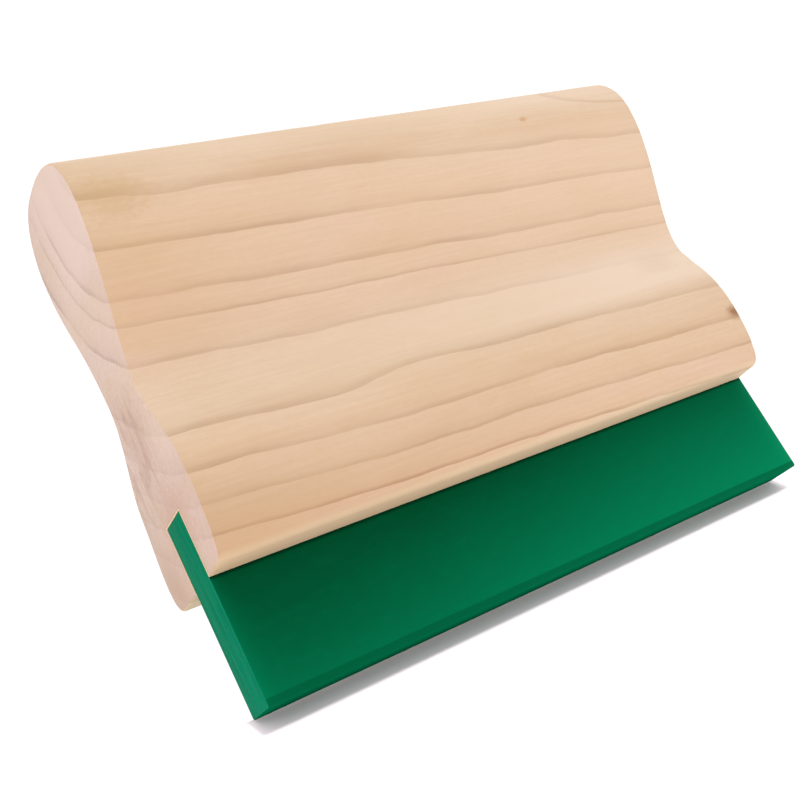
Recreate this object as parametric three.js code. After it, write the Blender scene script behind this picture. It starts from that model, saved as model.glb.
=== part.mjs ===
// Screen-printing squeegee: a one-piece shaped wooden handle with a slot along
// its lower edge, a polyurethane blade seated in the slot, and the adhesive
// film that bonds the two.
//
// Frame: millimetres, +Z up with the blade pointing down, +X along the length,
// -Y the front, which is the side the grip leans to. The origin is the centre
// of the blade's working face.

import * as THREE from 'three';

// Overall
const LENGTH = 152;              // handle and blade are cut flush at both ends

// Blade
const BLADE_THICKNESS = 9.5;     // 3/8 inch stock
const BLADE_HEIGHT = 40;
const BLADE_EXPOSURE = 26;       // working face to the underside of the handle

// Adhesive film that lines the slot
const FILM = 0.3;

// Handle section, from the rear toe over the crown to the front toe. Each point
// has its distance from the blade's mid-plane, its height, the direction in
// which the outline runs there in degrees, and how far the curve keeps to that
// direction before and after it.
const OUTLINE = [
  { name: 'rear underside', y: 14.8, z: BLADE_EXPOSURE, heading: 0, after: 2 },
  { name: 'rear toe', y: 18.2, z: 31.5, heading: 90, before: 3.5, after: 4.5 },
  { name: 'rear cheek', y: 15.6, z: 47, heading: 99, before: 5, after: 8 },
  { name: 'palm groove', y: 7, z: 69, heading: 90, before: 9, after: 14 },
  { name: 'back of the grip', y: 11.6, z: 100, heading: 90, before: 11, after: 8.5 },
  { name: 'crown', y: -1.5, z: 116, heading: 180, before: 8.5, after: 9 },
  { name: 'front of the grip', y: -22.7, z: 101, heading: 270, before: 12.4, after: 13 },
  { name: 'finger groove', y: -11.2, z: 64, heading: 270, before: 8, after: 6 },
  { name: 'front cheek', y: -16, z: 43, heading: 270, before: 11, after: 6 },
  { name: 'front toe', y: -14, z: 29.2, heading: 290, before: 3, after: 2 },
  { name: 'front underside', y: -10.8, z: BLADE_EXPOSURE, heading: 360, before: 1.6 },
];
const END_EASE = 0.5;            // sanded edge round each end
const CURVE_STEPS = 14;
const EASE_STEPS = 2;

const woodMaterial = new THREE.MeshStandardMaterial({
  color: new THREE.Color(0.90, 0.77, 0.64),
  roughness: 0.62,
  metalness: 0,
});
const bladeMaterial = new THREE.MeshStandardMaterial({
  color: new THREE.Color(0.0, 0.48, 0.30),
  roughness: 0.38,
  metalness: 0,
});
const filmMaterial = new THREE.MeshStandardMaterial({
  color: new THREE.Color(0.72, 0.58, 0.36),
  roughness: 0.45,
  metalness: 0,
});

// Extrudes a section drawn in (y, z) along the whole length.
function alongLength(section, ease) {
  const eased = ease > 0;
  const geometry = new THREE.ExtrudeGeometry(section, {
    depth: LENGTH - 2 * ease,
    curveSegments: CURVE_STEPS,
    bevelEnabled: eased,
    bevelSize: ease,
    bevelThickness: ease,
    bevelOffset: -ease,
    bevelSegments: EASE_STEPS,
  });
  geometry.translate(0, 0, ease - LENGTH / 2);
  const toFrame = new THREE.Matrix4().makeBasis(
    new THREE.Vector3(0, 1, 0),
    new THREE.Vector3(0, 0, 1),
    new THREE.Vector3(1, 0, 0),
  );
  geometry.applyMatrix4(toFrame);
  return geometry;
}

// The point at a signed distance from an outline point, along its heading.
function along(point, distance) {
  const angle = THREE.MathUtils.degToRad(point.heading);
  return [point.y + distance * Math.cos(angle), point.z + distance * Math.sin(angle)];
}

// Handle: one smooth curve round the outside, and the slot cut square.
function handleSection() {
  const slotHalf = BLADE_THICKNESS / 2 + FILM;
  const slotTop = BLADE_HEIGHT + FILM;
  const section = new THREE.Shape();
  section.moveTo(slotHalf, BLADE_EXPOSURE);
  section.lineTo(OUTLINE[0].y, OUTLINE[0].z);
  for (let i = 1; i < OUTLINE.length; i += 1) {
    const from = OUTLINE[i - 1];
    const to = OUTLINE[i];
    section.bezierCurveTo(...along(from, from.after), ...along(to, -to.before), to.y, to.z);
  }
  section.lineTo(-slotHalf, BLADE_EXPOSURE);
  section.lineTo(-slotHalf, slotTop);
  section.lineTo(slotHalf, slotTop);
  section.lineTo(slotHalf, BLADE_EXPOSURE);
  return section;
}

// Adhesive: a thin U that fills the gap between the blade and the slot.
function filmSection() {
  const inner = BLADE_THICKNESS / 2;
  const outer = inner + FILM;
  const section = new THREE.Shape();
  section.moveTo(outer, BLADE_EXPOSURE);
  section.lineTo(outer, BLADE_HEIGHT + FILM);
  section.lineTo(-outer, BLADE_HEIGHT + FILM);
  section.lineTo(-outer, BLADE_EXPOSURE);
  section.lineTo(-inner, BLADE_EXPOSURE);
  section.lineTo(-inner, BLADE_HEIGHT);
  section.lineTo(inner, BLADE_HEIGHT);
  section.lineTo(inner, BLADE_EXPOSURE);
  section.lineTo(outer, BLADE_EXPOSURE);
  return section;
}

function namedMesh(name, geometry, material) {
  const mesh = new THREE.Mesh(geometry, material);
  mesh.name = name;
  return mesh;
}

const squeegee = new THREE.Group();
squeegee.name = 'squeegee';

squeegee.add(namedMesh('handle', alongLength(handleSection(), END_EASE), woodMaterial));

const blade = namedMesh(
  'blade',
  new THREE.BoxGeometry(LENGTH, BLADE_THICKNESS, BLADE_HEIGHT),
  bladeMaterial,
);
blade.position.set(0, 0, BLADE_HEIGHT / 2);
squeegee.add(blade);

squeegee.add(namedMesh('adhesive_film', alongLength(filmSection(), 0), filmMaterial));

export default squeegee;
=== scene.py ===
import math
import random

import bpy
from mathutils import Matrix, Vector, noise


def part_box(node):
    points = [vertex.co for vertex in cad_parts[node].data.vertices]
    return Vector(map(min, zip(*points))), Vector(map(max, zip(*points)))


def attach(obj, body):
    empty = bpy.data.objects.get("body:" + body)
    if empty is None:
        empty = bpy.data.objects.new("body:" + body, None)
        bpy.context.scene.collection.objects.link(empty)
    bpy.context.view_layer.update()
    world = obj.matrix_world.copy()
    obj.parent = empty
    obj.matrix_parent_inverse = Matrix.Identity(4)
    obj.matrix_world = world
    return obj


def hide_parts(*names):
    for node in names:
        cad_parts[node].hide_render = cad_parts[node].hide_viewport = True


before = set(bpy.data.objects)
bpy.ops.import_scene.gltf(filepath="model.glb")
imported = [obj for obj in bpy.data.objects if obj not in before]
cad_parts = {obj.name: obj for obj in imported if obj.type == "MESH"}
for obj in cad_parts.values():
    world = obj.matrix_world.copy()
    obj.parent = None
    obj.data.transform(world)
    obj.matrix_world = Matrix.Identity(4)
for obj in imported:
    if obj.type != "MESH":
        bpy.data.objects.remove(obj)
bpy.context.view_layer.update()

# Lengths are in millimetres, in the CAD's frame, and turn into metres where meshes, lights and
# the camera are made.
MM = 0.001


# ---------------------------------------------------------------- sizes from the frame

def box_mm(node):
    """Lowest and highest corner of a CAD node, in millimetres."""
    low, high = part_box(node)
    return low / MM, high / MM


blade_low, blade_high = box_mm("blade")
handle_low, handle_high = box_mm("handle")
film_low, film_high = box_mm("adhesive_film")

LENGTH = blade_high.x - blade_low.x
HALF_LENGTH = LENGTH / 2
BLADE_THICKNESS = blade_high.y - blade_low.y
BLADE_HEIGHT = blade_high.z
FILM = film_high.z - blade_high.z
FRONT, BACK = handle_low.y, handle_high.y
UNDERSIDE, CROWN = handle_low.z, handle_high.z
GRIP_MIDDLE = -2.0         # the y that parts the grip's front from its back


# ---------------------------------------------------------------- mesh helpers

def bezier(start, leave, arrive, end, steps):
    """Points on one cubic curve, without its last point."""
    points = []
    for i in range(steps):
        s = i / steps
        weights = ((1 - s) ** 3, 3 * (1 - s) ** 2 * s, 3 * (1 - s) * s * s, s ** 3)
        y, z = 0.0, 0.0
        for weight, control in zip(weights, (start, leave, arrive, end)):
            y += weight * control[0]
            z += weight * control[1]
        points.append((y, z))
    return points


def new_object(name, verts, faces, crease_degrees=None):
    """A mesh object. With an angle it is shaded smooth, apart from edges that bend more."""
    mesh = bpy.data.meshes.new(name)
    mesh.from_pydata(verts, [], faces)
    mesh.validate()
    mesh.update()
    if crease_degrees is not None:
        mesh.polygons.foreach_set("use_smooth", [True] * len(mesh.polygons))
        mesh.set_sharp_from_angle(angle=math.radians(crease_degrees))
    obj = bpy.data.objects.new(name, mesh)
    bpy.context.scene.collection.objects.link(obj)
    return obj


def stations(rounding, steps):
    """(x, inset) along the length: the rounding of both ends, and even steps between them."""
    edge = max(inset_x for inset_x, _ in rounding)
    found = []
    for inset_x, inset in rounding:
        found.append((inset_x - HALF_LENGTH, inset))
        found.append((HALF_LENGTH - inset_x, inset))
    for k in range(1, steps):
        found.append((edge - HALF_LENGTH + (LENGTH - 2 * edge) * k / steps, 0.0))
    return sorted(found)


def loft(name, rows, crease_degrees):
    """A closed skin over rows of points, one row for each station along the length."""
    count = len(rows[0])
    verts = []
    for row in rows:
        for point in row:
            verts.append(tuple(value * MM for value in point))
    faces = []
    for start in range(0, len(verts) - count, count):
        for i in range(count):
            j = (i + 1) % count
            faces.append((start + i, start + j, start + count + j, start + count + i))
    faces.append(tuple(reversed(range(count))))
    faces.append(tuple(range(len(verts) - count, len(verts))))
    return new_object(name, verts, faces, crease_degrees)


# ---------------------------------------------------------------- handle

# The handle's section as in the CAD: y, z, the heading of the outline there in degrees, and how
# far the curve keeps to it before and after the point.
OUTLINE = (
    (14.8, UNDERSIDE, 0, 0.0, 2.0),      # rear underside
    (BACK, 31.5, 90, 3.5, 4.5),          # rear toe
    (15.6, 47.0, 99, 5.0, 8.0),          # rear cheek
    (7.0, 69.0, 90, 9.0, 14.0),          # palm groove
    (11.6, 100.0, 90, 11.0, 8.5),        # back of the grip
    (-1.5, CROWN, 180, 8.5, 9.0),        # crown
    (FRONT, 101.0, 270, 12.4, 13.0),     # front of the grip
    (-11.2, 64.0, 270, 8.0, 6.0),        # finger groove
    (-16.0, 43.0, 270, 11.0, 6.0),       # front cheek
    (-14.0, 29.2, 290, 3.0, 2.0),        # front toe
    (-10.8, UNDERSIDE, 360, 1.6, 0.0),   # front underside
)
OUTLINE_GAP = 1.2          # between points on a curve
FEWEST_STEPS = 8           # on a short curve
WALL_POINT = 7.0           # a point this far up each wall of the slot
HANDLE_EDGE = 0.9          # radius of the sanded edge round each end
HANDLE_EDGE_STEPS = 5
HANDLE_STEPS = 56
SLOT_EASE = 0.25           # the slot's own edge is eased by this share of the sanded edge
HANDLE_CREASE = 50

SWELL = 0.10               # how far the sanded surface swells, over centimetres
RIPPLE = 0.035             # and over millimetres
END_WEAR = 0.18            # the most that the ends' edges are worn away

DENTS = 22
DENT_SEED = 11
DENT_RADIUS = (1.2, 2.6)
DENT_DEPTH = (0.05, 0.16)
DENT_STRETCH = 0.6         # a dent is longer along the grain
DENT_END_MARGIN = 6.0
DENT_TOE_MARGIN = 8.0
DENT_CROWN_MARGIN = 4.0


def handle_outline():
    """The curved outside of the section as (y, z), from the rear underside over the crown to
    the front underside."""
    points = []
    for here, ahead in zip(OUTLINE, OUTLINE[1:]):
        y0, z0, heading0, _, after = here
        y1, z1, heading1, before, _ = ahead
        angle0, angle1 = math.radians(heading0), math.radians(heading1)
        leave = (y0 + after * math.cos(angle0), z0 + after * math.sin(angle0))
        arrive = (y1 - before * math.cos(angle1), z1 - before * math.sin(angle1))
        steps = max(FEWEST_STEPS, round(math.hypot(y1 - y0, z1 - z0) / OUTLINE_GAP))
        points += bezier((y0, z0), leave, arrive, (y1, z1), steps)
    points.append(OUTLINE[-1][:2])
    return points


def slot_outline():
    """The slot's walls and top as (y, z), from the front to the rear."""
    half = BLADE_THICKNESS / 2 + FILM
    heights = (UNDERSIDE, UNDERSIDE + WALL_POINT, BLADE_HEIGHT + FILM)
    return [(-half, z) for z in heights] + [(half, z) for z in reversed(heights)]


def outward_normals(section):
    """The direction out of the solid at each point of a section."""
    normals = []
    for i in range(len(section)):
        before, after = section[i - 1], section[(i + 1) % len(section)]
        dy, dz = after[0] - before[0], after[1] - before[1]
        size = math.hypot(dy, dz)
        normals.append((dz / size, -dy / size))
    return normals


def handle_rounding():
    """The quarter circle of the sanded edge as (x, inset), measured from the end face."""
    rounding = []
    for k in range(HANDLE_EDGE_STEPS + 1):
        turn = math.radians(90) * k / HANDLE_EDGE_STEPS
        rounding.append((HANDLE_EDGE * (1 - math.sin(turn)), HANDLE_EDGE * (1 - math.cos(turn))))
    return rounding


def draw_dents():
    """Shallow dents from use, each with its x, z, side, radius and depth."""
    draw = random.Random(DENT_SEED)
    reach = HALF_LENGTH - DENT_END_MARGIN
    dents = []
    for _ in range(DENTS):
        x = draw.uniform(-reach, reach)
        z = draw.uniform(UNDERSIDE + DENT_TOE_MARGIN, CROWN - DENT_CROWN_MARGIN)
        side = draw.choice((-1, 1))
        radius = draw.uniform(*DENT_RADIUS)
        depth = draw.uniform(*DENT_DEPTH)
        dents.append((x, z, side, radius, depth))
    return dents


def dent_depth(dents, x, y, z):
    """How deep the dents are at a point of the outside."""
    side = -1 if y < GRIP_MIDDLE else 1
    deep = 0.0
    for dent_x, dent_z, dent_side, radius, depth in dents:
        far = math.hypot((x - dent_x) * DENT_STRETCH, z - dent_z) / radius
        if dent_side == side and far < 1:
            deep += depth * (1 - far * far) ** 2
    return deep


def sanded_surface(x, y, z, at_end):
    """How far the hand-sanded outside stands out from the plain section."""
    place = Vector((x * 0.02, y * 0.06, z * 0.06))
    stand = SWELL * noise.noise(place) + RIPPLE * noise.noise(place * 4.3)
    if at_end:
        wear = noise.noise(Vector((y * 0.35, z * 0.35, math.copysign(9, x))))
        stand -= END_WEAR * max(0.0, wear)
    return stand


def handle_piece():
    """The wooden grip, with sanded ends, a slightly uneven surface and a flat underside."""
    outside = handle_outline()
    section = outside + slot_outline()
    normals = outward_normals(section)
    dents = draw_dents()
    rows = []
    for x, inset in stations(handle_rounding(), HANDLE_STEPS):
        row = []
        for i, (y, z) in enumerate(section):
            if i < len(outside):
                shift = sanded_surface(x, y, z, inset > 0) - dent_depth(dents, x, y, z) - inset
            else:
                shift = -inset * SLOT_EASE
            ny, nz = normals[i]
            height = z + shift * nz
            if math.isclose(z, UNDERSIDE):
                height = max(height, UNDERSIDE)
            row.append((x, y + shift * ny, height))
        rows.append(row)
    return loft("handle_wood", rows, HANDLE_CREASE)


# ---------------------------------------------------------------- blade

BLADE_EDGE = 0.45          # radius of the long edges
BLADE_EDGE_STEPS = 4
BLADE_ROW_GAP = 3.0        # between points up the faces
BLADE_END_EDGE = 0.3
BLADE_STEPS = 48
BLADE_CORE = 1.0           # the ends are inset towards a core this far inside the faces
BLADE_WAVE = 0.03
BLADE_CREASE = 60


def blade_section():
    """The blade's section as (y, z), with rounded corners and points all the way up both faces,
    which can carry a slight wave."""
    side, low, top = BLADE_THICKNESS / 2 - BLADE_EDGE, BLADE_EDGE, BLADE_HEIGHT - BLADE_EDGE
    corners = ((side, low, -90), (side, top, 0), (-side, top, 90), (-side, low, 180))
    rounded = []
    for y, z, start in corners:
        for k in range(BLADE_EDGE_STEPS + 1):
            angle = math.radians(start + 90 * k / BLADE_EDGE_STEPS)
            rounded.append((y + BLADE_EDGE * math.cos(angle), z + BLADE_EDGE * math.sin(angle)))
    section = []
    for (y0, z0), (y1, z1) in zip(rounded, rounded[1:] + rounded[:1]):
        section.append((y0, z0))
        steps = int(math.hypot(y1 - y0, z1 - z0) // BLADE_ROW_GAP)
        for k in range(1, steps):
            section.append((y0 + (y1 - y0) * k / steps, z0 + (z1 - z0) * k / steps))
    return section


def from_core(value, low, high):
    """How far a value lies outside the core between two limits."""
    return value - max(low + BLADE_CORE, min(high - BLADE_CORE, value))


def blade_piece():
    """The blade, with very slightly softened edges and a faint wave in its free part."""
    half = BLADE_THICKNESS / 2
    section = blade_section()
    rounding = (
        (0.0, BLADE_END_EDGE),
        (0.3 * BLADE_END_EDGE, 0.4 * BLADE_END_EDGE),
        (BLADE_END_EDGE, 0.0),
    )
    rows = []
    for x, inset in stations(rounding, BLADE_STEPS):
        row = []
        for y, z in section:
            dy, dz = from_core(y, -half, half), from_core(z, 0.0, BLADE_HEIGHT)
            wave = BLADE_WAVE * noise.noise(Vector((x * 0.03, y * 0.1, z * 0.05)))
            if z > UNDERSIDE:
                wave = 0.0
            shift = (wave - inset) / math.hypot(dy, dz)
            row.append((x, y + shift * dy, max(0.0, z + shift * dz)))
        rows.append(row)
    return loft("blade_polyurethane", rows, BLADE_CREASE)


# ---------------------------------------------------------------- shader tools

def linear(red, green, blue):
    """A colour given as 0 to 255 in sRGB, in the shader's linear numbers."""
    out = []
    for value in (red / 255, green / 255, blue / 255):
        out.append(value / 12.92 if value <= 0.04045 else ((value + 0.055) / 1.055) ** 2.4)
    return tuple(out)


STUDIO_ALBEDO = 0.757      # the albedo that looks pure white under the studio light


def tone(red, green, blue):
    """A colour as it looks under the studio light, turned into an albedo."""
    return tuple(value * STUDIO_ALBEDO for value in linear(red, green, blue))


class Nodes:
    """A material and short names for the nodes that it is built from. Its mm, x, y and z are
    the place on the object in millimetres."""

    def __init__(self, name):
        self.material = bpy.data.materials.new(name)
        self.material.use_nodes = True
        self.tree = self.material.node_tree
        self.tree.nodes.clear()
        self.shader = self.add("ShaderNodeBsdfPrincipled")
        self.link(self.shader.outputs["BSDF"], self.add("ShaderNodeOutputMaterial").inputs["Surface"])
        place = self.add("ShaderNodeTexCoord").outputs["Object"]
        self.mm = self.vec("MULTIPLY", place, (1 / MM, 1 / MM, 1 / MM))
        self.x, self.y, self.z = self.split(self.mm)

    def add(self, kind):
        return self.tree.nodes.new(kind)

    def link(self, source, socket):
        self.tree.links.new(source, socket)

    def put(self, value, socket):
        """Links a socket's value, or sets a constant."""
        if isinstance(value, bpy.types.NodeSocket):
            self.link(value, socket)
        else:
            socket.default_value = value

    def math(self, operation, *values):
        node = self.add("ShaderNodeMath")
        node.operation = operation
        for value, socket in zip(values, node.inputs):
            self.put(value, socket)
        return node.outputs[0]

    def product(self, first, *others):
        for other in others:
            first = self.math("MULTIPLY", first, other)
        return first

    def vec(self, operation, *values):
        node = self.add("ShaderNodeVectorMath")
        node.operation = operation
        for value, socket in zip(values, node.inputs):
            self.put(value, socket)
        return node.outputs["Value" if operation == "LENGTH" else "Vector"]

    def split(self, vector):
        node = self.add("ShaderNodeSeparateXYZ")
        self.link(vector, node.inputs[0])
        return tuple(node.outputs)

    def join(self, *values):
        node = self.add("ShaderNodeCombineXYZ")
        for value, socket in zip(values, node.inputs):
            self.put(value, socket)
        return node.outputs[0]

    def noise(self, place, detail, rough, distortion=0.0, output="Fac"):
        """Noise at a place, which is a vector or else how much to stretch the millimetres."""
        if isinstance(place, tuple):
            place = self.vec("MULTIPLY", self.mm, place)
        node = self.add("ShaderNodeTexNoise")
        self.link(place, node.inputs["Vector"])
        node.inputs["Scale"].default_value = 1.0
        node.inputs["Detail"].default_value = detail
        node.inputs["Roughness"].default_value = rough
        node.inputs["Distortion"].default_value = distortion
        return node.outputs[output]

    def span(self, value, low, high, at_low=0.0, at_high=1.0, smooth=True):
        """Goes from one number to the other while a value goes from low to high."""
        node = self.add("ShaderNodeMapRange")
        node.interpolation_type = "SMOOTHSTEP" if smooth else "LINEAR"
        self.put(value, node.inputs["Value"])
        limits = (("From Min", low), ("From Max", high), ("To Min", at_low), ("To Max", at_high))
        for key, number in limits:
            node.inputs[key].default_value = number
        return node.outputs["Result"]

    def band(self, value, rise, fall):
        """Comes up to 1 over the first pair of values and goes back to 0 over the second."""
        return self.product(self.span(value, *rise), self.span(value, *fall, 1.0, 0.0))

    def bell(self, value, centre, width):
        """1 at the centre, dying away on both sides."""
        off = self.math("DIVIDE", self.math("SUBTRACT", value, centre), width)
        return self.math("EXPONENT", self.product(off, off, -1.0))

    def distance(self, centre, stretch):
        """How far the place is from a centre, with each axis stretched."""
        return self.vec("LENGTH", self.vec("MULTIPLY", self.vec("SUBTRACT", self.mm, centre), stretch))

    def mix(self, amount, first, second):
        node = self.add("ShaderNodeMix")
        node.data_type = "RGBA"
        node.clamp_factor = True
        self.put(amount, node.inputs["Factor"])
        for colour, socket in ((first, node.inputs[6]), (second, node.inputs[7])):
            self.put((*colour, 1.0) if isinstance(colour, tuple) else colour, socket)
        return node.outputs[2]

    def bump(self, height, strength, depth, normal=None):
        node = self.add("ShaderNodeBump")
        node.inputs["Strength"].default_value = strength
        node.inputs["Distance"].default_value = depth
        self.link(height, node.inputs["Height"])
        if normal is not None:
            self.link(normal, node.inputs["Normal"])
        return node.outputs["Normal"]


# ---------------------------------------------------------------- wood

# Growth rings round a pith that lies outside the grip, in front of it: the radius of each dark
# late-wood line.
RINGS = (8.0, 14.0, 22.2, 30.3, 40.0, 44.9, 52.4, 63.0, 71.6, 78.3, 84.3, 91.0, 98.0)
RINGS_REACH = 110.0
PITH_Y, PITH_Y_SLOPE = -41.0, 0.013
PITH_Z, PITH_Z_SLOPE = 107.2, -0.027

# How the rings stray from circles: the noise's stretch, detail and roughness, and how far it
# moves them in x, y and z. The first is a slow drift and the second a fine wobble.
RING_STRAY = (
    ((0.013, 0.03, 0.03), 1.0, 0.50, (0.0, 2.4, 3.4)),
    ((0.06, 0.20, 0.20), 3.0, 0.55, (0.0, 1.2, 1.5)),
)

# The colours of early wood, the middle of a ring and the late-wood line, and how strongly the
# line shows.
SIDE_TONES = (tone(233, 202, 170), tone(229, 197, 163), tone(174, 136, 100))
SIDE_LINE = 0.44
END_TONES = (tone(237, 211, 198), tone(232, 205, 191), tone(190, 160, 150))
END_LINE = 0.60

# Small marks on the front: place, size, strength and colour.
BLEMISHES = (
    ((75.2, -15.8, 39.5), 2.7, 0.80, (150, 98, 52)),      # a knot's rim at the right edge
    ((39.0, -22.6, 101.2), 1.1, 0.70, (214, 156, 112)),   # a resin spot
    ((-69.0, -22.3, 98.8), 7.0, 0.42, (205, 168, 112)),   # a brownish patch at the upper left
    ((64.0, -11.5, 60.0), 6.0, 0.20, (212, 182, 152)),    # a faint smudge in the finger groove
)


def pith_distance(g):
    """The distance from the pith, strayed so that the rings look grown."""
    pith_y = g.math("MULTIPLY_ADD", g.x, PITH_Y_SLOPE, PITH_Y)
    pith_z = g.math("MULTIPLY_ADD", g.x, PITH_Z_SLOPE, PITH_Z)
    section = g.vec("MULTIPLY", g.mm, (0.0, 1.0, 1.0))
    offset = g.vec("SUBTRACT", section, g.join(0.0, pith_y, pith_z))
    for stretch, detail, rough, reach in RING_STRAY:
        stray = g.noise(stretch, detail, rough, output="Color")
        stray = g.vec("SUBTRACT", stray, (0.5, 0.5, 0.5))
        offset = g.vec("ADD", offset, g.vec("MULTIPLY", stray, reach))
    radius = g.vec("LENGTH", offset)
    # one ring under the waist dips at the left and then humps near the middle
    hump = g.product(g.bell(g.x, -16.2, 10.757), 1.7)
    dip = g.span(g.x, -40.0, -22.0, 1.5, 0.0)
    return g.math("MULTIPLY_ADD", g.math("SUBTRACT", hump, dip), g.bell(radius, 63.0, 4.5), radius)


def ring_phase(g, radius):
    """Goes from 0 to 1 through each growth ring, up to its dark line."""
    curve = g.add("ShaderNodeFloatCurve")
    points = curve.mapping.curves[0].points
    points[0].location = (0.0, 0.0)
    points[1].location = (1.0, 1.0)
    steps = len(RINGS) + 1
    for i, ring in enumerate(RINGS, start=1):
        points.new(ring / RINGS_REACH, i / steps)
    for point in points:
        point.handle_type = "VECTOR"
    curve.mapping.update()
    g.link(g.math("DIVIDE", radius, RINGS_REACH), curve.inputs["Value"])
    return g.math("FRACT", g.product(curve.outputs[0], float(steps)))


def ring_fade(g, radius, end_grain):
    """How clearly the rings show: they come and go, and die out over the crown."""
    fade = g.span(g.noise((0.02, 0.06, 0.06), 2.0, 0.5), 0.30, 0.62, 0.45, 1.0)
    fade = g.product(fade, g.span(g.z, 103.0, 109.0, 1.0, 0.15))
    if end_grain:
        # low on the end they are faint, and the two nearest the grip's back are the clearest
        low = g.span(g.z, 56.0, 74.0, 0.16, 1.0)
        inner = g.span(radius, 31.0, 39.0, 0.35, 1.25)
        fade = g.product(fade, low, inner)
    return fade


def ring_lines(g, phase, radius, fade):
    """The soft darkening towards each late-wood line, and the line itself, which comes up
    gradually and ends sharply."""
    sharp_end = (0.985, 1.0)
    soft = g.product(g.band(phase, (0.55, 0.97), sharp_end), fade)
    # the two close rings and the one along the toe are darker than the others
    close_pair = g.bell(radius, 42.5, 4.0)
    toe_ring = g.bell(radius, 84.0, 2.6)
    strength = g.math("MULTIPLY_ADD", close_pair, 0.45, g.math("MULTIPLY_ADD", toe_ring, 0.9, 0.92))
    line = g.product(g.band(phase, (0.82, 0.965), sharp_end), fade, strength)
    return soft, line


def grain(g, colour, fibre, pores, mottle):
    """Broad drifts of colour along the board, and the fibres, mottle and pores."""
    cloud = g.noise((0.016, 0.05, 0.05), 3.0, 0.5)
    place = g.vec("ADD", g.vec("MULTIPLY", g.mm, (0.05, 0.10, 0.10)), (7.0, 3.0, 1.0))
    yellow, pink, _ = g.split(g.noise(place, 3.0, 0.55, output="Color"))
    layers = (
        (cloud, 0.42, 0.70, 0.0, 0.45, (240, 213, 187)),
        (yellow, 0.48, 0.75, 0.0, 0.26, (226, 194, 148)),
        (pink, 0.50, 0.75, 0.0, 0.24, (233, 196, 176)),
        (fibre, 0.30, 0.66, 0.13, 0.0, (196, 158, 122)),
        (fibre, 0.55, 0.85, 0.0, 0.16, (248, 226, 204)),
        (mottle, 0.30, 0.70, 0.10, 0.0, (205, 168, 132)),
        (pores, 0.26, 0.40, 0.12, 0.0, (178, 136, 100)),
    )
    for field, low, high, at_low, at_high, seen in layers:
        colour = g.mix(g.span(field, low, high, at_low, at_high), colour, tone(*seen))
    return colour


def blot(g, colour, mottle, centre, stretch, ragged, fade, amount, seen):
    """A soft patch round a centre, with a ragged rim."""
    rim = g.product(g.math("SUBTRACT", mottle, 0.5), ragged)
    far = g.math("ADD", g.distance(centre, stretch), rim)
    return g.mix(g.span(far, *fade, amount, 0.0), colour, tone(*seen))


def end_figure(g, colour, radius, mottle):
    """What only the end grain shows: rays, open pores, stains and twisted grain."""
    angle = g.math("ARCTAN2", g.math("SUBTRACT", g.z, PITH_Z), g.math("SUBTRACT", g.y, PITH_Y))
    ray = g.noise(g.join(g.product(angle, 70.0), g.product(radius, 0.10), 0.0), 2.0, 0.5)
    speck = g.noise((0.0, 4.2, 4.2), 2.0, 0.6)
    colour = g.mix(g.span(ray, 0.42, 0.62, 0.0, 0.14), colour, tone(244, 222, 210))
    colour = g.mix(g.span(speck, 0.30, 0.44, 0.16, 0.0), colour, tone(182, 146, 130))
    # a browner swirl round the waist
    colour = blot(g, colour, mottle, (0.0, -1.0, 58.0), (0.0, 0.11, 0.08), 1.6, (0.2, 1.3), 0.38,
                  (204, 168, 146))
    # twisted grain under the waist shows as brown streaks that run down towards the slot
    twist = g.noise((0.0, 0.30, 0.11), 2.0, 0.5, distortion=0.7)
    twist = g.band(twist, (0.46, 0.60), (0.60, 0.74))
    waist = g.product(g.band(g.z, (38.0, 52.0), (62.0, 72.0)), g.span(g.y, -9.0, 0.0))
    colour = g.mix(g.product(twist, waist, 0.42), colour, tone(186, 148, 126))
    # a browner rear toe, and a reddish stain round the slot
    colour = blot(g, colour, mottle, (0.0, 13.0, 29.0), (0.0, 0.12, 0.08), 0.0, (0.1, 1.1), 0.45,
                  (204, 164, 136))
    colour = blot(g, colour, mottle, (0.0, -2.0, 38.0), (0.0, 0.095, 0.105), 1.2, (0.3, 1.1), 0.50,
                  (222, 172, 152))
    # a little browner all over the lowest part, and paler across the top
    colour = g.mix(g.span(g.z, 42.0, 52.0, 0.24, 0.0), colour, tone(196, 166, 140))
    head = g.product(g.span(g.z, 84.0, 94.0, 0.0, 0.50), g.span(g.y, -8.0, 6.0, 1.0, 0.0))
    return g.mix(head, colour, tone(247, 222, 208))


def crown_ring(g, colour, late):
    """The tip of one more ring, which comes out through the crown towards the right end."""
    tip = g.distance((85.0, 0.0, 109.0), (1 / 33, 0.0, 1 / 7.5))
    line = g.band(tip, (0.86, 0.98), (0.99, 1.02))
    in_front = g.math("LESS_THAN", g.y, GRIP_MIDDLE)
    return g.mix(g.product(line, in_front, 0.32), colour, late)


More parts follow.
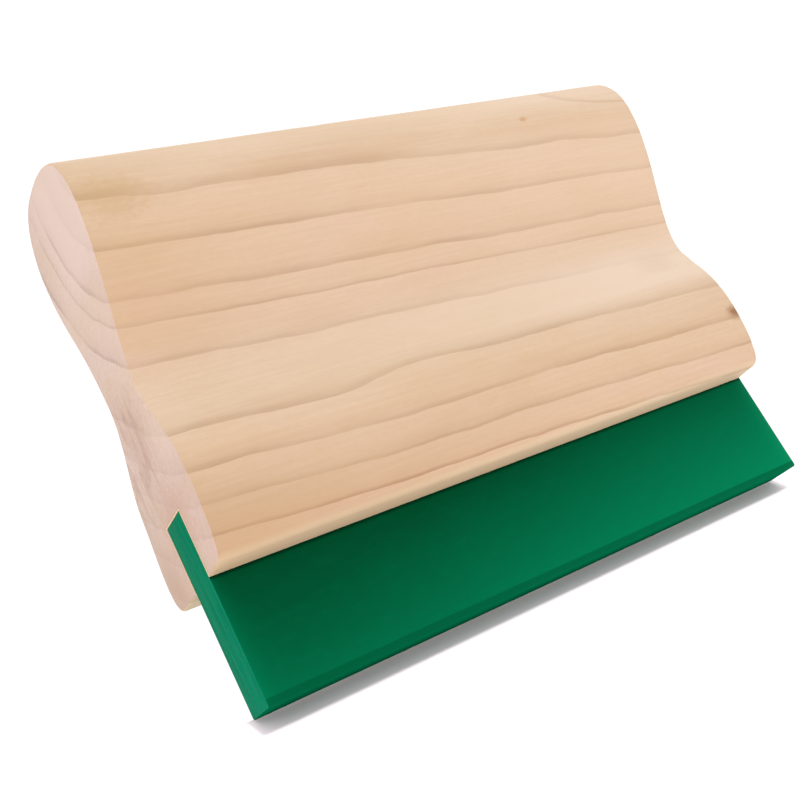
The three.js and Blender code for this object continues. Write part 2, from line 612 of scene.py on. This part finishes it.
def side_figure(g, colour, late, mottle):
    """What only the grip's outside shows: the crown's ring, patches of painted light and of darker tone,
    a painted highlight along the toe, and small blemishes.
    """
    colour = crown_ring(g, colour, late)
    in_front = g.span(g.y, -4.0, 4.0, 1.0, 0.0)
    # each patch has its reach up the height, its amount along the length and its colour. The first three
    # are painted light: paler on the upward-facing slope of the waist, over the crown and towards the
    # right. The last two make it darker and browner at the upper left and low on the cheek towards the
    # left end.
    slope = g.band(g.z, (47.0, 55.0), (62.0, 71.0))
    crown = g.span(g.z, 98.0, 108.0)
    grip_right = g.band(g.z, (62.0, 70.0), (96.0, 100.0))
    grip_left = g.band(g.z, (66.0, 74.0), (84.0, 96.0))
    cheek = g.span(g.z, 31.0, 50.0, 1.0, 0.0)
    patches = (
        (slope, g.span(g.x, -60.0, 50.0, 0.10, 0.66, smooth=False), (247, 225, 203)),
        (crown, g.span(g.x, -60.0, 40.0, 0.10, 0.34, smooth=False), (247, 225, 203)),
        (grip_right, g.span(g.x, -60.0, 70.0, 0.0, 0.34, smooth=False), (247, 220, 190)),
        (grip_left, g.span(g.x, -76.0, -36.0, 0.34, 0.0), (216, 174, 126)),
        (cheek, g.span(g.x, -76.0, 30.0, 0.58, -0.02, smooth=False), (202, 162, 118)),
    )
    for reach, amount, seen in patches:
        colour = g.mix(g.product(reach, amount, in_front), colour, tone(*seen))
    # a painted highlight: a pale rim of bounced light along the toe, next to the blade
    colour = g.mix(g.span(g.z, 26.2, 27.6, 0.40, 0.0), colour, tone(232, 218, 176))
    for centre, size, amount, seen in BLEMISHES:
        fade = (0.15 * size, size)
        colour = blot(g, colour, mottle, centre, (0.6, 1.0, 1.0), 0.8 * size, fade, amount, seen)
    return colour


def wood_material(name, end_grain):
    g = Nodes(name)
    fibre = g.noise((0.05, 1.6, 1.6), 5.0, 0.62)
    pores = g.noise((0.40, 5.5, 5.5), 2.0, 0.6)
    mottle = g.noise((0.55, 0.9, 0.9), 4.0, 0.65)
    early, middle, late = END_TONES if end_grain else SIDE_TONES
    radius = pith_distance(g)
    phase = ring_phase(g, radius)
    soft, line = ring_lines(g, phase, radius, ring_fade(g, radius, end_grain))
    colour = g.mix(g.span(phase, 0.10, 0.80), early, middle)
    colour = g.mix(g.product(soft, 0.16), colour, late)
    colour = g.mix(g.product(line, END_LINE if end_grain else SIDE_LINE), colour, late)
    colour = grain(g, colour, fibre, pores, mottle)
    if end_grain:
        colour = end_figure(g, colour, radius, mottle)
    else:
        colour = side_figure(g, colour, late, mottle)
    g.link(colour, g.shader.inputs["Base Color"])
    g.link(g.span(fibre, 0.25, 0.75, 0.70, 0.58), g.shader.inputs["Roughness"])
    g.shader.inputs["Specular IOR Level"].default_value = 0.20
    height = g.math("MULTIPLY_ADD", fibre, 0.55, g.product(pores, 0.35))
    height = g.math("SUBTRACT", height, g.product(line, 0.10))
    normal = g.bump(height, 0.22, 0.18 * MM)
    if end_grain:
        saw_marks = g.noise((0.0, 0.25, 3.4), 2.0, 0.5)
        normal = g.bump(saw_marks, 0.12, 0.2 * MM, normal)
    g.link(normal, g.shader.inputs["Normal"])
    return g.material


# ---------------------------------------------------------------- blade and film materials

# The translucent rubber's colours, as linear albedo. The first two are a shaded and a lit copy of one
# green, for painted shade and painted light, and the slot's colour is painted shade; the others are the
# rubber's own.
SHADED_GREEN = (0.0002, 0.072, 0.026)
LIT_GREEN = (0.0008, 0.215, 0.092)
HAZE_GREEN = (0.002, 0.20, 0.10)
SLOT_SHADE = (0.0, 0.012, 0.003)
CUT_GREEN = (0.0010, 0.150, 0.072)
CUT_PALE = (0.004, 0.205, 0.102)
CUT_FLECK = (0.045, 0.13, 0.115)


def rubber_painted_light(g, drift):
    """Painted light and shade on the rubber: painted shade, deepest where it is clamped up under the
    handle, and painted light, lightest at its free edges, towards the right and at both ends; with a slow
    random drift.
    """
    # painted shade up under the handle, lifting towards the working edge
    low = g.product(g.math("POWER", g.span(g.z, 0.0, 27.0, 1.0, 0.0, smooth=False), 1.5), 0.46)
    # painted light, lighter towards the right
    side = g.span(g.x, -60.0, HALF_LENGTH, -0.14, 0.27, smooth=False)
    # painted light, a glow at both cut ends
    to_end = g.math("SUBTRACT", HALF_LENGTH, g.math("ABSOLUTE", g.x))
    ends = g.product(g.math("EXPONENT", g.product(to_end, -0.45)), 0.30)
    light = g.math("ADD", g.math("ADD", low, side), ends)
    return g.math("ADD", light, g.math("MULTIPLY_ADD", drift, 0.16, -0.06))


def rubber_face(g, drift, haze):
    """The moulded faces' colour, with painted light and shade, and a dark band of painted shade along the
    working edge.
    """
    colour = g.mix(rubber_painted_light(g, drift), SHADED_GREEN, LIT_GREEN)
    colour = g.mix(g.span(haze, 0.45, 0.75, 0.0, 0.06), colour, HAZE_GREEN)
    # painted shade: a dark band along the lowest two millimetres or so of the faces, at the working edge
    band = g.span(g.math("MULTIPLY_ADD", drift, 0.5, g.z), 1.65, 1.95, 0.60, 0.0)
    colour = g.mix(band, colour, SHADED_GREEN)
    # painted shade: a dark line where the blade goes up into the slot
    return g.mix(g.span(g.z, 25.0, 25.8, 0.0, 0.75), colour, SLOT_SHADE)


def finish_rubber(g, colour, roughness, height, bump, gloss):
    g.link(colour, g.shader.inputs["Base Color"])
    g.link(roughness, g.shader.inputs["Roughness"])
    g.shader.inputs["Specular IOR Level"].default_value = gloss
    g.link(g.bump(height, bump, 0.2 * MM), g.shader.inputs["Normal"])
    return g.material


def rubber_haze(g):
    return g.noise((0.25, 0.6, 0.6), 4.0, 0.6)


def rubber_material(name, gloss):
    g = Nodes(name)
    drift = g.noise((0.02, 0.05, 0.05), 2.0, 0.5)
    haze = rubber_haze(g)
    colour = rubber_face(g, drift, haze)
    return finish_rubber(g, colour, g.span(haze, 0.3, 0.7, 0.34, 0.44), g.product(haze, 0.5), 0.05, gloss)


def cut_rubber_material(name, gloss):
    """The sawn ends, streaked along the blade's height."""
    g = Nodes(name)
    haze = rubber_haze(g)
    streak = g.noise((0.0, 1.5, 0.07), 4.0, 0.65)
    fleck = g.noise((0.0, 2.0, 1.1), 3.0, 0.6)
    colour = g.mix(g.span(streak, 0.30, 0.70), CUT_GREEN, CUT_PALE)
    colour = g.mix(g.span(fleck, 0.54, 0.70, 0.0, 0.55), colour, CUT_FLECK)
    height = g.math("ADD", streak, g.product(fleck, 0.4))
    return finish_rubber(g, colour, g.span(haze, 0.3, 0.7, 0.50, 0.60), height, 0.20, gloss)


def film_material():
    g = Nodes("dried_adhesive")
    spots = g.noise((0.5, 0.8, 0.8), 3.0, 0.6)
    g.link(g.mix(spots, linear(206, 176, 132), linear(226, 206, 168)), g.shader.inputs["Base Color"])
    g.shader.inputs["Roughness"].default_value = 0.42
    g.link(g.bump(spots, 0.3, 0.2 * MM), g.shader.inputs["Normal"])
    return g.material


# ---------------------------------------------------------------- pieces

FACING = 0.75              # how squarely a face looks along an axis to count as facing it
RUBBER_GLOSS = 0.005


def paint(obj, materials, choose):
    """Gives a piece its materials, and each face the one that choose picks from its normal."""
    for material in materials:
        obj.data.materials.append(material)
    for face in obj.data.polygons:
        face.material_index = choose(face.normal)


def wood_slot(normal):
    return 1 if abs(normal.x) > FACING else 0


def rubber_slot(normal):
    if abs(normal.x) > FACING:
        return 1
    return 2 if normal.z < -FACING else 0


handle = handle_piece()
paint(handle, (wood_material("bare_wood_side", False), wood_material("bare_wood_end", True)), wood_slot)
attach(handle, "root")
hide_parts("handle")

blade = blade_piece()
rubber_materials = (
    rubber_material("polyurethane_face", RUBBER_GLOSS),
    cut_rubber_material("polyurethane_cut", RUBBER_GLOSS),
    # the underside: the same rubber without gloss, also under the painted shade of the edge band
    rubber_material("polyurethane_underside_shaded", 0.0),
)
paint(blade, rubber_materials, rubber_slot)
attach(blade, "root")
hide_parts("blade")

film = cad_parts["adhesive_film"]
film.data.materials.clear()
film.data.materials.append(film_material())


# ---------------------------------------------------------------- floor

# The tool leans back on the rear lower edge of its blade, so in its own frame the surface that it
# stands on falls away towards the front. From here on, lengths are in metres.
LEAN = math.radians(45)
UP = Vector((0, -math.sin(LEAN), math.cos(LEAN)))
AHEAD = Vector((0, -math.cos(LEAN), -math.sin(LEAN)))
ACROSS = Vector((1, 0, 0))
CONTACT = Vector((0, BLADE_THICKNESS / 2 * MM, 0))

FLOOR_BACK = 0.0007        # the floor ends just behind the contact, so it hides nothing from behind
FLOOR_FRONT = 0.60
FLOOR_HALF_WIDTH = 0.9
FLOOR_GAP = 0.0002
FLOOR_DEPTH = 0.001


def plain_material(name, colour, roughness, specular):
    material = bpy.data.materials.new(name)
    material.use_nodes = True
    shader = material.node_tree.nodes["Principled BSDF"]
    shader.inputs["Base Color"].default_value = (*colour, 1.0)
    shader.inputs["Roughness"].default_value = roughness
    shader.inputs["Specular IOR Level"].default_value = specular
    return material


def make_floor():
    """A thin slab under the tool, white below and at its rim, so that it doesn't show from behind."""
    verts = []
    for drop in (FLOOR_GAP, FLOOR_GAP + FLOOR_DEPTH):
        for ahead, side in ((-FLOOR_BACK, -1), (-FLOOR_BACK, 1), (FLOOR_FRONT, 1), (FLOOR_FRONT, -1)):
            corner = CONTACT + AHEAD * ahead + ACROSS * side * FLOOR_HALF_WIDTH - UP * drop
            verts.append(tuple(corner))
    faces = [(0, 1, 2, 3), (7, 6, 5, 4)]
    for i in range(4):
        j = (i + 1) % 4
        faces.append((i, i + 4, j + 4, j))
    slab = new_object("floor", verts, faces)
    slab.data.materials.append(plain_material("pale_floor", (0.95, 0.84, 0.90), 0.85, 0.1))
    slab.data.materials.append(plain_material("white_underside", (0.96, 0.96, 0.96), 0.9, 0.5))
    for face in slab.data.polygons:
        face.material_index = 0 if face.index == 0 else 1
    return slab


floor = make_floor()


# ---------------------------------------------------------------- light

WORLD_STRENGTH = 1.10


def make_world():
    """White light from all round, which is also the white backdrop."""
    world = bpy.data.worlds.new("studio")
    world.use_nodes = True
    nodes = world.node_tree.nodes
    nodes.clear()
    background = nodes.new("ShaderNodeBackground")
    background.inputs["Color"].default_value = (1.0, 1.0, 1.0, 1.0)
    background.inputs["Strength"].default_value = WORLD_STRENGTH
    output = nodes.new("ShaderNodeOutputWorld")
    world.node_tree.links.new(background.outputs[0], output.inputs["Surface"])
    bpy.context.scene.world = world


def area_light(name, position, target, size_x, size_y, power):
    data = bpy.data.lights.new(name, "AREA")
    data.shape = "RECTANGLE"
    data.size, data.size_y = size_x, size_y
    data.energy = power
    lamp = bpy.data.objects.new(name, data)
    bpy.context.scene.collection.objects.link(lamp)
    turn = (target - position).to_track_quat("-Z", "Y").to_matrix().to_4x4()
    lamp.matrix_world = Matrix.Translation(position) @ turn
    return lamp


def light_only(lamp, obj):
    """Lets a lamp light one object alone."""
    receivers = bpy.data.collections.new(f"{obj.name}_only")
    receivers.objects.link(obj)
    lamp.light_linking.receiver_collection = receivers


def make_lights():
    middle = Vector((0, 0, 0.055))
    overhead = middle + UP * 0.62 - AHEAD * 0.10 + ACROSS * 0.12
    left = middle + Vector((-0.55, -0.35, 0.20))
    above_floor = CONTACT + UP * 0.60 + AHEAD * 0.14
    area_light("overhead_key", overhead, middle, 0.55, 0.40, 1.0)
    area_light("left_fill", left, middle, 0.40, 0.40, 0.3)
    # a small lamp for the floor alone gives the tool its narrow shadow
    light_only(area_light("floor_key", above_floor, CONTACT, 0.10, 0.10, 2.9), floor)


make_world()
make_lights()


# ---------------------------------------------------------------- camera

AZIMUTH, ELEVATION, ROLL = math.radians(-34.45), math.radians(-16.27), math.radians(-28.3)
AIM = Vector((-0.0181, -0.002, 0.0487))
DISTANCE = 0.2487
LENS = 51.28
SENSOR = 36.0


def make_camera():
    """A camera that looks at AIM from a distance, turned about its own line of sight by ROLL."""
    level = math.cos(ELEVATION)
    away = Vector((math.sin(AZIMUTH) * level, -math.cos(AZIMUTH) * level, math.sin(ELEVATION)))
    flat_right = Vector((0, 0, 1)).cross(away).normalized()
    flat_up = away.cross(flat_right).normalized()
    right = flat_right * math.cos(ROLL) + flat_up * math.sin(ROLL)
    up = away.cross(right).normalized()
    data = bpy.data.cameras.new("camera")
    data.lens = LENS
    data.sensor_width = SENSOR
    data.clip_start = 0.01
    camera = bpy.data.objects.new("camera", data)
    bpy.context.scene.collection.objects.link(camera)
    turn = Matrix((right, up, away)).transposed().to_4x4()
    camera.matrix_world = Matrix.Translation(AIM + away * DISTANCE) @ turn
    return camera


bpy.context.scene.camera = make_camera()
bpy.context.scene.view_settings.view_transform = "Standard"
bpy.context.scene.view_settings.look = "None"
